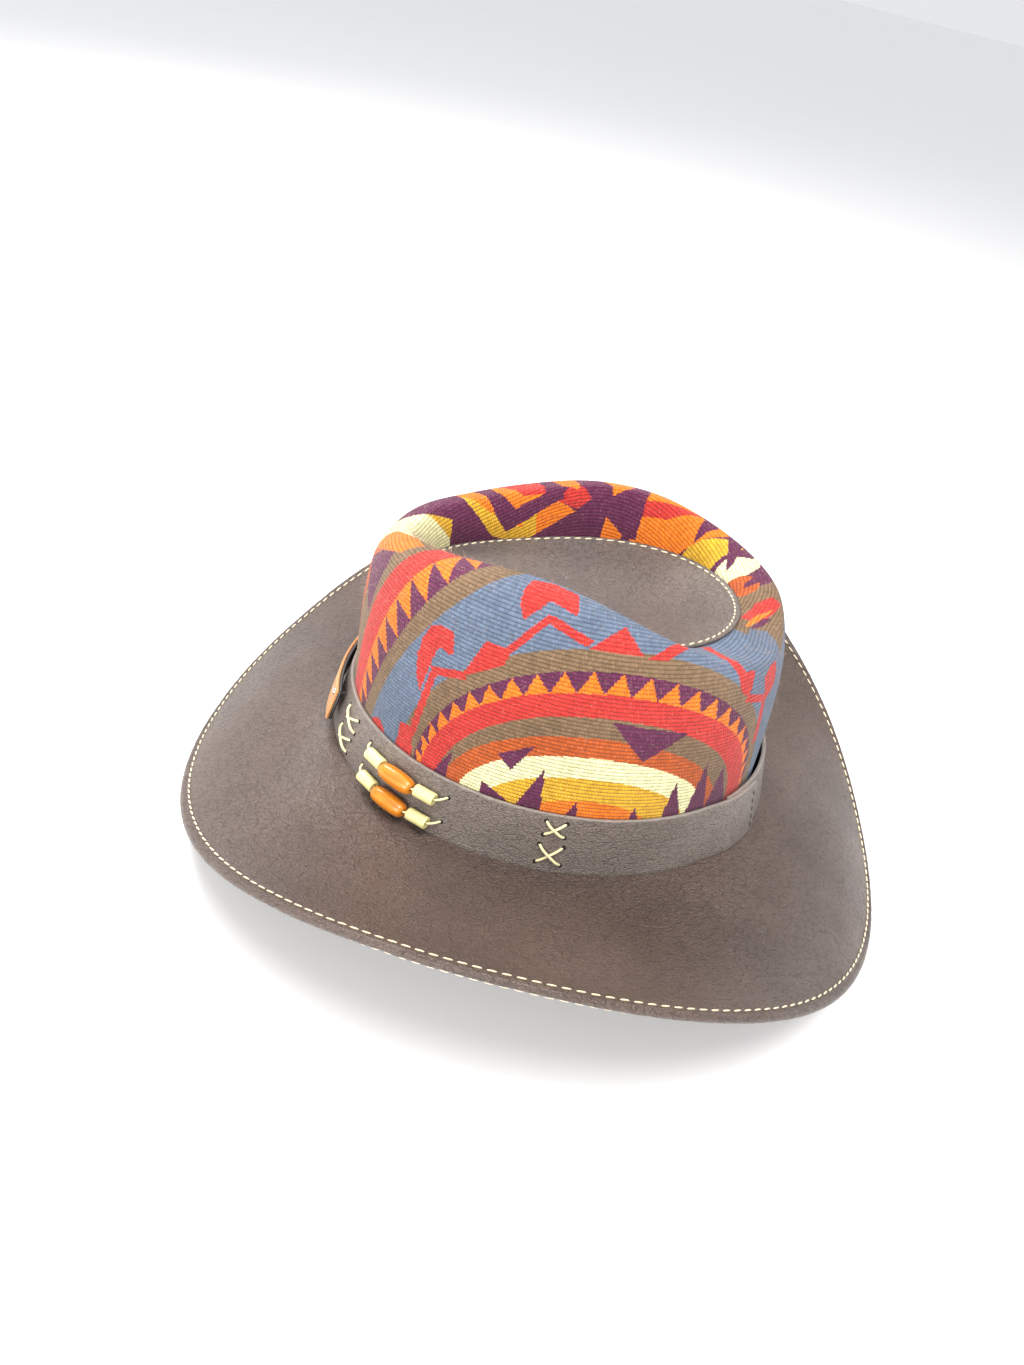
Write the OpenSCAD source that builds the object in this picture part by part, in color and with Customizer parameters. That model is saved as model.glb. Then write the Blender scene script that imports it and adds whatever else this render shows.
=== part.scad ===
// Outback-style hat: leather brim over a board, woven fabric crown with a sunken leather top,
// leather band with cross lacing, two bead strings a side and a curved front plaque.
// +Z up, front towards -Y, wearer's left towards +X. The hat stands on the brim's front and back.

/* [Crown] */
// Half length of the woven crown at its base, front to back
crown_half_length = 105.3; // [98:0.1:112]
// Half width of the woven crown at its base
crown_half_width = 87.1; // [80:0.1:92]
// Height of the crown's rim above its base
crown_height = 111.7; // [95:0.1:125]
// Half length of the crown rim's crest line
crest_half_length = 88.9; // [80:0.1:95]
// Half width of the crown rim's crest line
crest_half_width = 52.7; // [45:0.1:62]
// Thickness of the woven fabric
fabric_t = 1.4; // [0.8:0.1:2]

/* [Sunken leather top] */
// Half length of the sunken top's seam
seam_half_length = 75.2; // [65:0.1:80]
// Half width of the sunken top's seam
seam_half_width = 45.7; // [36:0.1:50]
// Height of the seam above the crown's base
seam_height = 95.4; // [85:0.1:105]
// How far the middle of the top is dished below its seam
top_dish = 6; // [2:0.5:12]

/* [Brim] */
// Mean distance of the brim's edge from the crown's centre
brim_reach = 188.2; // [170:0.1:200]
// How far the side edges rise and the front and back edges dip
brim_curl = 42.6; // [25:0.1:50]
// Share of the brim's curl that builds up towards the edge
brim_roll_up = 0.75; // [0.4:0.05:0.9]
// Radius of the edge leather rolled over its wire
welt_r = 2.2; // [2:0.1:3]
// Thickness of the brim's upper leather
upper_t = 1.4; // [1:0.1:2]

/* [Band] */
// Height of the leather band
band_h = 29.5; // [24:0.5:38]
// Thickness of the band leather
band_t = 1.9; // [1.4:0.1:2.5]

/* [Beads] */
// Length of the pale tube bead
tube_len = 10.6; // [8:0.1:14]
// Radius of the pale tube bead
tube_r = 3.0; // [2.4:0.1:4]
// Length of the wooden oval bead
oval_len = 19.0; // [15:0.1:24]
// Radius of the wooden oval bead
oval_r = 4.3; // [3.5:0.1:5.5]

/* [Hidden] */
base_z = 36.925;
mid_y = -3.27;
N = 54;
step = 360 / N;
flare = 7.5;
bt_a = 106.9;
bt_b = 86.0;
lace_r = 0.65;
skive = 1.0;
board_back = 5.6;
under_back = 4.8;
stitch_back = 4.9;
plaque_half = 21.5;
plaque_low = 0.2;
plaque_high = 0.84;
rivet_t = 19.6;
rivet_v = 0.74;
bore_r = 1.25;
lap = 1.95;

// ---- small helpers: ovals, curves and skins ----
function mix3(a, b, k) = a + (b - a) * k;
function unit(v) = v / norm(v);
function oval(a, b, t, z, y = 0, c3 = 0, c4 = 0) =
    let (e = c3 * cos(3 * t) + c4 * cos(4 * t)) [(b + e) * sin(t), -(a + e) * cos(t) + y + mid_y, z];
function bez(p, q, r, s, u) =
    (1-u)*(1-u)*(1-u)*p + 3*(1-u)*(1-u)*u*q + 3*(1-u)*u*u*r + u*u*u*s;
function flat(v) = [for (a = v) for (b = a) b];
// faces of a closed loop of m points carried round n stations
function round_faces(n, m, o = 0) = [for (i = [0:n-1]) for (j = [0:m-1])
    let (a = o + i*m + j, b = o + i*m + (j+1)%m, c = o + ((i+1)%n)*m + (j+1)%m, d = o + ((i+1)%n)*m + j)
    each [[a, c, b], [a, d, c]]];
module ring_skin(rows) { polyhedron(points = flat(rows), faces = round_faces(len(rows), len(rows[0])), convexity = 6); }
// faces of an open run of loops with both ends closed by fans
function run_faces(n, m, o = 0) = concat(
    [for (i = [0:n-2]) for (j = [0:m-1])
        let (a = o + i*m + j, b = o + i*m + (j+1)%m, c = o + (i+1)*m + (j+1)%m, d = o + (i+1)*m + j)
        each [[a, c, b], [a, d, c]]],
    [for (j = [1:m-2]) [o, o+j, o+j+1]],
    [for (j = [1:m-2]) let (e = o + (n-1)*m) [e, e+j+1, e+j]]);
module run_skin(rows) { polyhedron(points = flat(rows), faces = run_faces(len(rows), len(rows[0])), convexity = 6); }
// round rod along a path, s sides
function rod_rows(path, r, s, up) = [for (i = [0:len(path)-1])
    let (a = path[max(i-1, 0)], b = path[min(i+1, len(path)-1)], d = unit(b - a),
         w = unit(cross(d, up)), v = cross(w, d))
    [for (k = [0:s-1]) path[i] + r * (cos(k*360/s) * w + sin(k*360/s) * v)]];

// ---- crown surface: t runs round from the front, u runs up the wall (0-1) and down the inner lip (1-2) ----
function base_h(t) = base_z - 3 * cos(t);
function dip(t) = 5 * exp(-pow((t > 180 ? t - 360 : t) / 20, 2)) + 6 * exp(-pow((t - 175) / 20, 2));
function crest_h(t) = base_z + crown_height + 2.4*cos(t) - 7.7*cos(2*t) - 1.1*cos(3*t) + 2.2*cos(4*t)
    - 1.2*sin(t) + 4.2*sin(2*t) - dip(t);
function seam_h(t) = base_z + seam_height - 9.0*cos(t) - 1.3*cos(2*t);
function seam_pt(t, g, z) = oval(seam_half_length - g, seam_half_width - g, t, z, -1.2, 3.7, 0.3);
function crown_pt(t, u, d) =
    let (p = oval(crown_half_length - d, crown_half_width - d, t, base_h(t)),
         s = oval(crest_half_length + 15 - d, crest_half_width + 19.5 - d, t, crest_h(t) - d, -1.8, 1.3, -1.3),
         c = oval(crest_half_length, crest_half_width, t, crest_h(t) - d, 3.7, 3.5, -1.3),
         e = seam_pt(t, -d, seam_h(t) - 1.7 - d),
         l = [e[0], e[1], max(c[2], e[2] + 1)])
    u <= 1 ? bez(p, mix3(p, s, 0.79), mix3(c, s, 0.82), c, u)
    : u <= 2 ? bez(c, mix3(c, l, 0.6), mix3(e, l, 0.5), e, u - 1)
    : seam_pt(t, 8 * (u - 2), seam_h(t) - 1.7 - 1.6 * (u - 2) - d);
module crown_shell(us, d0, d1) {
    ring_skin([for (i = [0:N-1]) concat([for (u = us) crown_pt(i*step, u, d0)],
        [for (k = [len(us)-1:-1:0]) crown_pt(i*step, us[k], d1)])]);
}
wall_u = [0, 0.05, 0.13, 0.26, 0.43, 0.6, 0.76, 0.89, 1, 1.2, 1.5, 1.8, 2, 3];

// ---- sunken top: k runs from the seam (0) to the middle (1) ----
function top_pt(t, k, d, g) =
    let (p = seam_pt(t, g, seam_h(t)), m = [0, -1.2 + mid_y, base_z + seam_height - top_dish])
    [p[0] + (m[0]-p[0])*k, p[1] + (m[1]-p[1])*k, p[2] + (m[2]-p[2])*(1 - (1-k)*(1-k)) - d];
module top_disc(ks, d0, d1, g) {
    m = 2 * len(ks);
    rows = [for (i = [0:N-1]) concat([for (k = [len(ks)-1:-1:0]) top_pt(i*step, ks[k], d0, g)],
        [for (k = ks) top_pt(i*step, k, d1, g)])];
    c0 = N * m;
    polyhedron(points = concat(flat(rows), [top_pt(0, 1, d0, g), top_pt(0, 1, d1, g)]),
        faces = concat([for (i = [0:N-1]) for (j = [0:m-2])
            let (a = i*m + j, b = i*m + j + 1, c = ((i+1)%N)*m + j + 1, d = ((i+1)%N)*m + j)
            each [[a, b, c], [a, c, d]]],
            [for (i = [0:N-1]) [c0, i*m, ((i+1)%N)*m]],
            [for (i = [0:N-1]) [c0+1, ((i+1)%N)*m + m - 1, i*m + m - 1]]), convexity = 6);
}

// ---- brim surface: u runs from the band's foot (0) to the edge (1), n is height off the upper face ----
function rim_pt(t) =
    let (r = brim_reach - 2.8*cos(t) - 0.3*cos(2*t) + 1.5*cos(3*t) - 0.8*cos(4*t))
    [r * sin(t), -r * cos(t) - 0.6 + 2.6*cos(2*t) + mid_y,
     base_z + 6.4 - 2.4*cos(t) - brim_curl*cos(2*t) + 2.3*cos(3*t) + 0.5*cos(4*t)];
function foot_pt(t, g = 0) = oval(crown_half_length + 9.1 + g, crown_half_width + 6.4 + g, t, base_h(t));
function brim_mid(t, u) =
    let (b = foot_pt(t), e = rim_pt(t))
    [b[0] + (e[0]-b[0])*u, b[1] + (e[1]-b[1])*u,
     b[2] + (e[2]-b[2]) * ((1-brim_roll_up)*u + brim_roll_up*u*u)];
function brim_out(t) = let (b = foot_pt(t), e = rim_pt(t)) unit([e[0]-b[0], e[1]-b[1], 0]);
function brim_dir(t, u) = unit(brim_mid(t, u + 0.01) - brim_mid(t, u - 0.01));
function brim_nrm(t, u) = let (d = brim_dir(t, u), o = brim_out(t)) unit([-o[0]*d[2], -o[1]*d[2], o[0]*d[0] + o[1]*d[1]]);
function brim_len(t) = norm(rim_pt(t) - foot_pt(t));
function sheet_pt(t, u, n) = brim_mid(t, u) + n * brim_nrm(t, u);
// a point near the edge: s back from the edge along the brim, n above its face
function edge_pt(t, s, n) = let (u = 1 - 6.2 / brim_len(t))
    brim_mid(t, u) + (6.2 + s) * brim_dir(t, u) + n * brim_nrm(t, u);
sheet_u = [0.0, 0.14, 0.3, 0.46, 0.62, 0.78, 0.9];
function sheet_row(t, n) = concat([oval(crown_half_length - 4.4, crown_half_width - 4.4, t, base_h(t) + n)],
    [for (u = sheet_u) u == 0 ? foot_pt(t) + [0, 0, n] : sheet_pt(t, u, n)]);
function rev(v) = [for (i = [len(v)-1:-1:0]) v[i]];
welt_n = -1.3;
welt_a = [150, 112, 75, 38, 0, -38, -75, -125];
module brim_sheet(n0, n1, s) {
    ring_skin([for (i = [0:N-1]) let (t = i*step)
        concat(sheet_row(t, n0), [edge_pt(t, s, n0)], [edge_pt(t, s, n1)], rev(sheet_row(t, n1)))]);
}
function arc_row(t, r, as) = [for (a = as) edge_pt(t, -welt_r + r*cos(a), welt_n + r*sin(a))];

// ---- band surface: v runs up the band, d stands off its outer face ----
function band_pt(t, v, d = 0) =
    let (k = v) oval((1-k)*(crown_half_length + 9.1) + k*bt_a + d, (1-k)*(crown_half_width + 6.4) + k*bt_b + d,
        t, base_h(t) + band_h*v);
function band_nrm(t, v) = let (a = band_pt(t+1, v) - band_pt(t-1, v), b = band_pt(t, v+0.05) - band_pt(t, v-0.05)) unit(cross(a, b));
function on_band(t, v, d) = band_pt(t, v) + d * band_nrm(t, v);
function lap_off(t) = lap * min(1, max(0, (t - 499) / 9));
// the plaque is flatter than the band, so it stands further off towards its ends
function plaque_off(t) = 2.2 * pow(t / plaque_half, 2);
module strip(n, d0, d1) {
    run_skin([for (i = [0:n]) let (t = plaque_half * (2*i/n - 1), o = plaque_off(t))
        [on_band(t, plaque_low, d0 + o), on_band(t, plaque_low, d1 + o),
         on_band(t, plaque_high, d1 + o), on_band(t, plaque_high, d0 + o)]]);
}

// ---- stitches: short flat-ended lengths of thread lying along a line ----
function thread_pts(a, b, n, w, h) = let (d = unit(b-a), s = unit(cross(d, n)))
    [a - s*w - n*h, a + s*w - n*h, a + n*h, b - s*w - n*h, b + s*w - n*h, b + n*h];
function thread_faces(o) = [[o,o+2,o+1],[o+3,o+4,o+5],[o,o+1,o+4],[o,o+4,o+3],[o+1,o+2,o+5],[o+1,o+5,o+4],
    [o+2,o,o+3],[o+2,o+3,o+5]];
module threads(list, w, h) {
    polyhedron(points = flat([for (q = list) thread_pts(q[0], q[1], q[2], w, h)]),
        faces = flat([for (i = [0:len(list)-1]) thread_faces(6*i)]), convexity = 4);
}

// ---- cross lacing: two arched arms, each end sunk in the band ----
module arm(t, v, dt, dv, sgn, rise) {
    path = [for (i = [-3:3]) let (k = i/3) on_band(t + dt*k, v + sgn*dv*k, -0.5 + (rise + 0.5)*(1 - pow(abs(k), 3)))];
    run_skin(rod_rows(path, lace_r, 5, band_nrm(t, v)));
}
module crossing(t, v, dt, dv) { arm(t, v, dt, dv, 1, 1.0); arm(t, v, dt, dv, -1, 2.2); }

// ---- bead strings: m = 1 left, -1 right; each bead is straight, standing just off the band ----
tube_mid = [47.9, 65.0];
oval_mid = 56.6;
function string_v(t, up) = up ? 0.66 : 0.22;
function bead_mid(t, up, r) = on_band(t, string_v(t, up), r + 0.35);
function bead_dir(t, up) = unit(on_band(t + 2, string_v(t, up), 0) - on_band(t - 2, string_v(t, up), 0));
function bead_off(t) = t == oval_mid ? oval_r : tube_r;
function end_of(t, up, h) = bead_mid(t, up, bead_off(t)) + h * bead_dir(t, up);
function flip(p, m) = [m * p[0], p[1], p[2]];
function lace_path(up) = [on_band(42.4, string_v(0, up) + 0.07, -0.6), on_band(43.0, string_v(0, up) + 0.06, 1.4),
    end_of(tube_mid[0], up, -tube_len/2), end_of(tube_mid[0], up, tube_len/2),
    end_of(oval_mid, up, -oval_len/2), end_of(oval_mid, up, oval_len/2),
    end_of(tube_mid[1], up, -tube_len/2), end_of(tube_mid[1], up, tube_len/2),
    on_band(69.6, string_v(0, up) + 0.06, 1.4), on_band(70.3, string_v(0, up) + 0.07, -0.6)];
module lace(up, m) {
    mirror([m < 0 ? 1 : 0, 0, 0]) run_skin(rod_rows(lace_path(up), lace_r, 6, [0, 0, 1]));
}
module along(t, up, m) {
    p = bead_mid(t, up, bead_off(t)); d = bead_dir(t, up);
    mirror([m < 0 ? 1 : 0, 0, 0]) translate(p)
        rotate([0, acos(d[2]), atan2(d[1], d[0])]) children();
}
module tube_bead(i, up, m) {
    color([0.93, 0.87, 0.6]) along(tube_mid[i], up, m)
        rotate_extrude($fn = 40) polygon([[bore_r, -tube_len/2], [tube_r - 0.4, -tube_len/2], [tube_r, -tube_len/2 + 0.4],
            [tube_r, tube_len/2 - 0.4], [tube_r - 0.4, tube_len/2], [bore_r, tube_len/2]]);
}
module oval_bead(up, m) {
    color([0.72, 0.38, 0.08]) along(oval_mid, up, m)
        rotate_extrude($fn = 40) polygon(concat([[bore_r, -oval_len/2]],
            [for (k = [-5:5]) [2.3 + (oval_r - 2.3) * sqrt(1 - pow(k/5, 2) * 0.999), k/5 * oval_len/2]],
            [[bore_r, oval_len/2]]));
}

// ================= pieces =================
// Upper brim leather, turned down over the edge wire
module brim_upper() {
    color([0.23, 0.18, 0.16]) ring_skin([for (i = [0:N-1]) let (t = i*step)
        concat(sheet_row(t, 0), [edge_pt(t, -5.4, 0)], arc_row(t, welt_r, welt_a),
            rev(arc_row(t, welt_r - skive, welt_a)), [edge_pt(t, -5.4, -upper_t)], rev(sheet_row(t, -upper_t)))]);
}
// Board that holds the brim's curl
module brim_stiffener() { color([0.55, 0.5, 0.42]) brim_sheet(-upper_t - 0.03, -2.3, -board_back); }
// Under-brim leather
module brim_lower() { color([0.2, 0.16, 0.14]) brim_sheet(-2.33, -3.5, -under_back); }
// Edge wire inside the rolled leather
module brim_wire() {
    color([0.6, 0.6, 0.62]) ring_skin([for (i = [0:N-1])
        rev([for (k = [0:5]) edge_pt(i*step, -welt_r + (welt_r - skive - 0.1)*cos(k*60), welt_n + (welt_r - skive - 0.1)*sin(k*60))])]);
}
// One row of cream stitches in the groove behind the rolled edge
edge_n = 216;
module brim_edge_stitching() {
    color([0.9, 0.83, 0.68]) threads([for (i = [0:edge_n-1]) let (t = i*360/edge_n, h = 360/edge_n*0.33)
        [edge_pt(t-h, -stitch_back, 0.02), edge_pt(t+h, -stitch_back, 0.02), brim_nrm(t, 0.95)]], 0.45, 0.4);
}
// Woven fabric of the crown, one piece from the base up over the rim and under the sunken top
module crown_side() { color([0.45, 0.3, 0.3]) crown_shell(wall_u, 0, fabric_t); }
// Stiff interlining behind the fabric
module crown_interlining() {
    color([0.85, 0.83, 0.78]) crown_shell([for (u = wall_u) if (u != 0.05 && u < 1.9) u], fabric_t + 0.04, 2.25);
}
// Side lining
module crown_lining() {
    color([0.12, 0.1, 0.1]) crown_shell([for (u = wall_u) if (u != 0.05 && u < 2.5) u], 2.3, 2.85);
}
// Lining under the sunken top
module lining_tip() { color([0.12, 0.1, 0.1]) top_disc([0, 0.25, 0.6], 4.4, 4.9, -2.1); }
// Leather of the sunken top
module crown_top() { color([0.25, 0.2, 0.18]) top_disc([0, 0.1, 0.22, 0.4, 0.7], 0, 1.6, 0.25); }
// Cream stitches round the sunken top
top_n = 84;
module crown_top_stitching() {
    color([0.9, 0.83, 0.68]) threads([for (i = [0:top_n-1]) let (t = i*360/top_n, h = 360/top_n*0.33)
        [top_pt(t-h, 0.035, -0.05, 0), top_pt(t+h, 0.035, -0.05, 0), [0, 0, 1]]], 0.4, 0.4);
}
// Leather sweatband inside the base
module sweatband() { color([0.3, 0.22, 0.17]) crown_shell([0, 0.05, 0.13], 2.95, 4.2); }
// Stitches along the sweatband's foot
sweat_n = 64;
module sweatband_stitching() {
    color([0.15, 0.12, 0.1]) threads([for (i = [0:sweat_n-1]) let (t = i*360/sweat_n, h = 360/sweat_n*0.3,
        a = crown_pt(t-h, 0.014, 4.25), b = crown_pt(t+h, 0.014, 4.25))
        [a, b, unit([-a[0], -a[1] + mid_y, 0])]], 0.35, 0.3);
}
// Band: one strap whose end laps over its start at the left of the back
module hat_band() {
    color([0.24, 0.19, 0.17]) run_skin([for (i = [0:N+2]) let (t = 22*step + (i < N ? i*step : 360 + (i-N)*7.2), o = lap_off(t),
        e = t < 161.5 ? 0.02 : 0)
        [on_band(t, 0.0, -band_t + o + e), on_band(t, 0.0, o - e), on_band(t, 1, o - e), on_band(t, 1, -band_t + o + e)]]);
}
// Stitches that close the band's lap
module band_end_stitching() {
    color([0.17, 0.14, 0.13]) threads([for (i = [0:3]) let (v = 0.14 + i*0.21)
        [on_band(158.6, v, lap), on_band(158.6, v + 0.12, lap), band_nrm(158.6, 0.5)]], 0.4, 0.4);
}
lace_col = [0.93, 0.88, 0.62];
module cross_left_front_upper() { color(lace_col) crossing(30, 0.66, 4.2, 0.13); }
module cross_left_front_lower() { color(lace_col) crossing(29.6, 0.24, 4.2, 0.13); }
module cross_left_rear_upper() { color(lace_col) crossing(97, 0.76, 2.5, 0.12); }
module cross_left_rear_lower() { color(lace_col) crossing(97, 0.31, 2.9, 0.16); }
module cross_right_front_upper() { color(lace_col) mirror([1, 0, 0]) crossing(30, 0.66, 4.2, 0.13); }
module cross_right_front_lower() { color(lace_col) mirror([1, 0, 0]) crossing(29.6, 0.24, 4.2, 0.13); }
module cross_right_rear_upper() { color(lace_col) mirror([1, 0, 0]) crossing(97, 0.76, 2.5, 0.12); }
module cross_right_rear_lower() { color(lace_col) mirror([1, 0, 0]) crossing(97, 0.31, 2.9, 0.16); }
module lace_left_upper() { color(lace_col) lace(true, 1); }
module lace_left_lower() { color(lace_col) lace(false, 1); }
module lace_right_upper() { color(lace_col) lace(true, -1); }
module lace_right_lower() { color(lace_col) lace(false, -1); }
module tube_left_upper_front() { tube_bead(0, true, 1); }
module oval_left_upper() { oval_bead(true, 1); }
module tube_left_upper_rear() { tube_bead(1, true, 1); }
module tube_left_lower_front() { tube_bead(0, false, 1); }
module oval_left_lower() { oval_bead(false, 1); }
module tube_left_lower_rear() { tube_bead(1, false, 1); }
module tube_right_upper_front() { tube_bead(0, true, -1); }
module oval_right_upper() { oval_bead(true, -1); }
module tube_right_upper_rear() { tube_bead(1, true, -1); }
module tube_right_lower_front() { tube_bead(0, false, -1); }
module oval_right_lower() { oval_bead(false, -1); }
module tube_right_lower_rear() { tube_bead(1, false, -1); }
// Curved front plaque: tan face on a black backing, standing a little off the band
module plaque_face() { color([0.72, 0.5, 0.3]) strip(12, 3.0, 4.4); }
module plaque_backing() { color([0.05, 0.05, 0.05]) strip(12, 1.4, 2.97); }
// Round-headed rivets that hold the plaque, one near each end
module rivet(t) {
    n = band_nrm(t, rivet_v);
    o = plaque_off(t);
    translate(on_band(t, rivet_v, -0.6)) rotate([0, acos(n[2]), atan2(n[1], n[0])]) {
        cylinder(r = 0.9, h = 5.1 + o, $fn = 24);
        translate([0, 0, 5 + o]) cylinder(r1 = 1.9, r2 = 1.2, h = 0.9, $fn = 24);
    }
}
module plaque_rivet_left() { color([0.75, 0.75, 0.77]) rivet(rivet_t); }
module plaque_rivet_right() { color([0.75, 0.75, 0.77]) rivet(-rivet_t); }

brim_upper();
brim_stiffener();
brim_lower();
brim_wire();
brim_edge_stitching();
crown_side();
crown_interlining();
crown_lining();
lining_tip();
crown_top();
crown_top_stitching();
sweatband();
sweatband_stitching();
hat_band();
band_end_stitching();
cross_left_front_upper();
cross_left_front_lower();
cross_left_rear_upper();
cross_left_rear_lower();
cross_right_front_upper();
cross_right_front_lower();
cross_right_rear_upper();
cross_right_rear_lower();
lace_left_upper();
lace_left_lower();
lace_right_upper();
lace_right_lower();
tube_left_upper_front();
oval_left_upper();
tube_left_upper_rear();
tube_left_lower_front();
oval_left_lower();
tube_left_lower_rear();
tube_right_upper_front();
oval_right_upper();
tube_right_upper_rear();
tube_right_lower_front();
oval_right_lower();
tube_right_lower_rear();
plaque_face();
plaque_backing();
plaque_rivet_left();
plaque_rivet_right();
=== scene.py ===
"""Outback hat: leather brim on a board, woven wool crown with a sunken leather top, leather band
laced with pale thong, two strings of beads a side and a curved plaque at the front.
Angles called t are in degrees round the hat, from the front towards the wearer's left."""
import math
import random

import bmesh
import bpy
from mathutils import Matrix, Vector, noise


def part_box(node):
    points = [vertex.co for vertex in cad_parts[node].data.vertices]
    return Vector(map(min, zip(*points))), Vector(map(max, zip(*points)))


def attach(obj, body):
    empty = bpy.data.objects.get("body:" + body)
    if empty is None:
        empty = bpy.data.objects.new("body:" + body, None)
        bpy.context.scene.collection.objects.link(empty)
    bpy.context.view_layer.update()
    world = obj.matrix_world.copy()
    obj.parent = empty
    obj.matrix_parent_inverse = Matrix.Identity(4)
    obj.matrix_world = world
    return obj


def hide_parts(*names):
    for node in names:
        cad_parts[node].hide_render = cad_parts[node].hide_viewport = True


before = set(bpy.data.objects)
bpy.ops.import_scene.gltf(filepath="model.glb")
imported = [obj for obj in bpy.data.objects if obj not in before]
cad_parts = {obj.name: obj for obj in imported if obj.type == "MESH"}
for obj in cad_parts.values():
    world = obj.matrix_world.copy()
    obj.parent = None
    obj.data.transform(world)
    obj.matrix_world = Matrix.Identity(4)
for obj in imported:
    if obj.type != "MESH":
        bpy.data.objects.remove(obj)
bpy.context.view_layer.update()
scene = bpy.context.scene

# ================= Camera =================
# Stands off the wearer's left, a little above the crown, tilted so that the front dips.
crown_low, crown_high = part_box("crown_side")
MM = 0.001
middle_y = (crown_low.y + crown_high.y) / 2 / MM
front_drop = 3.0
base_height = crown_low.z / MM + front_drop
look_at = Vector((0, middle_y, base_height)) * MM
eye = look_at + Vector((375.8, 3.8, 321.3)) * MM
camera = bpy.data.objects.new("camera", bpy.data.cameras.new("camera"))
scene.collection.objects.link(camera)
ahead = (look_at - eye).normalized()
level = ahead.cross(Vector((0, 0, 1))).normalized()
level.rotate(Matrix.Rotation(math.radians(-14.36), 3, ahead))
above = level.cross(ahead)
camera.matrix_world = Matrix((level, above, -ahead)).transposed().to_4x4()
camera.location = eye
camera.data.lens = 24.53
camera.data.sensor_width = 36
camera.data.shift_x = -0.0281
camera.data.shift_y = 0.0398
camera.data.clip_start = 0.01
scene.camera = camera

# ================= Brim board =================
# A stiff fibre board cut as a wide oval ring, steamed so that the sides curl up.
# It is sandwiched between the two brim leathers and keeps the curl.


def cosine(degrees):
    return math.cos(math.radians(degrees))


def sine(degrees):
    return math.sin(math.radians(degrees))


def oval(a, b, t, z, y=0.0, c3=0.0, c4=0.0):
    """A point of a hat oval, a along the hat and b across it, in millimetres."""
    e = c3 * cosine(3 * t) + c4 * cosine(4 * t)
    return Vector(((b + e) * sine(t), -(a + e) * cosine(t) + y + middle_y, z))


def base_at(t):
    return base_height - front_drop * cosine(t)


crown_half_length, crown_half_width = 105.3, 87.1
foot_half_length, foot_half_width = crown_half_length + 9.1, crown_half_width + 6.4
neck_half_length, neck_half_width = crown_half_length - 4.4, crown_half_width - 4.4
brim_reach, brim_curl, roll_up = 188.2, 42.6, 0.75
edge_base = 6.2


def foot_of(t):
    return oval(foot_half_length, foot_half_width, t, base_at(t))


def rim_of(t):
    """The brim's very edge."""
    c = [cosine(k * t) for k in range(5)]
    r = brim_reach - 2.8 * c[1] - 0.3 * c[2] + 1.5 * c[3] - 0.8 * c[4]
    z = base_height + 6.4 - 2.4 * c[1] - brim_curl * c[2] + 2.3 * c[3] + 0.5 * c[4]
    return Vector((r * sine(t), -r * c[1] - 0.6 + 2.6 * c[2] + middle_y, z))


def brim_middle(foot, rim, u):
    p = foot.lerp(rim, u)
    p.z = foot.z + (rim.z - foot.z) * ((1 - roll_up) * u + roll_up * u * u)
    return p


def ease(x):
    x = min(1.0, max(0.0, x))
    return x * x * (3 - 2 * x)


NECK, FACE, EDGE = 0.0, 1.0, 2.0
brim_cache = {}


def brim_point(t, zone, a, lift):
    """NECK lies inside the band's foot, FACE at a share a of the way out, EDGE a mm past the edge."""
    if t not in brim_cache:
        foot, rim = foot_of(t), rim_of(t)
        out = Vector((rim.x - foot.x, rim.y - foot.y, 0)).normalized()
        brim_cache[t] = foot, rim, out
    foot, rim, out = brim_cache[t]
    if zone == NECK:
        return oval(neck_half_length, neck_half_width, t, base_at(t) + lift)
    u = a if zone == FACE else 1 - edge_base / (rim - foot).length
    along = (brim_middle(foot, rim, u + 0.01) - brim_middle(foot, rim, u - 0.01)).normalized()
    normal = Vector((-out.x * along.z, -out.y * along.z, out.x * along.x + out.y * along.y)).normalized()
    p = brim_middle(foot, rim, u)
    if zone == EDGE:
        p = p + (edge_base + a) * along
    slack = 0.55 * noise.noise(p * 0.016) + 0.16 * noise.noise(p * 0.06)
    if zone == FACE:
        slack *= ease(u / 0.2)
        normal = Vector((0, 0, 1)) if u == 0 else normal
    return p + normal * (lift + slack)


def skin(name, steps, rows, place, start=0.0, sweep=360.0):
    """A closed wall: its cross section is the loop of rows, carried round the hat by place(t, *row).
    UV map cut holds t / 1000 and the length along the section, grid holds the share and the row."""
    bm = bmesh.new()
    loop = list(rows) + [rows[0]]
    bmesh.ops.create_grid(bm, x_segments=steps, y_segments=len(loop) - 1, size=0.5)
    cut = bm.loops.layers.uv.new("cut")
    grid = bm.loops.layers.uv.new("grid")
    columns = []
    for i in range(steps + 1):
        t = start + sweep * i / steps
        t = start if sweep == 360 and i == steps else t
        points = [place(t, *row) * MM for row in loop]
        lengths = [0.0]
        for p, q in zip(points, points[1:]):
            lengths.append(lengths[-1] + (q - p).length)
        columns.append((points, lengths))
    spot = {}
    for v in bm.verts:
        spot[v.index] = round((v.co.x + 0.5) * steps), round((v.co.y + 0.5) * (len(loop) - 1))
    for face in bm.faces:
        for corner in face.loops:
            i, j = spot[corner.vert.index]
            corner[cut].uv = (start + sweep * i / steps) / 1000, columns[i][1][j]
            corner[grid].uv = i / steps, loop[j][0]
    for v in bm.verts:
        i, j = spot[v.index]
        v.co = columns[i][0][j]
    bmesh.ops.remove_doubles(bm, verts=bm.verts, dist=0.000002)
    if sweep != 360:
        rims = [e for e in bm.edges if e.is_boundary]
        bmesh.ops.holes_fill(bm, edges=rims, sides=0)
    bmesh.ops.recalc_face_normals(bm, faces=bm.faces)
    return shown(name, bm)


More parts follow.
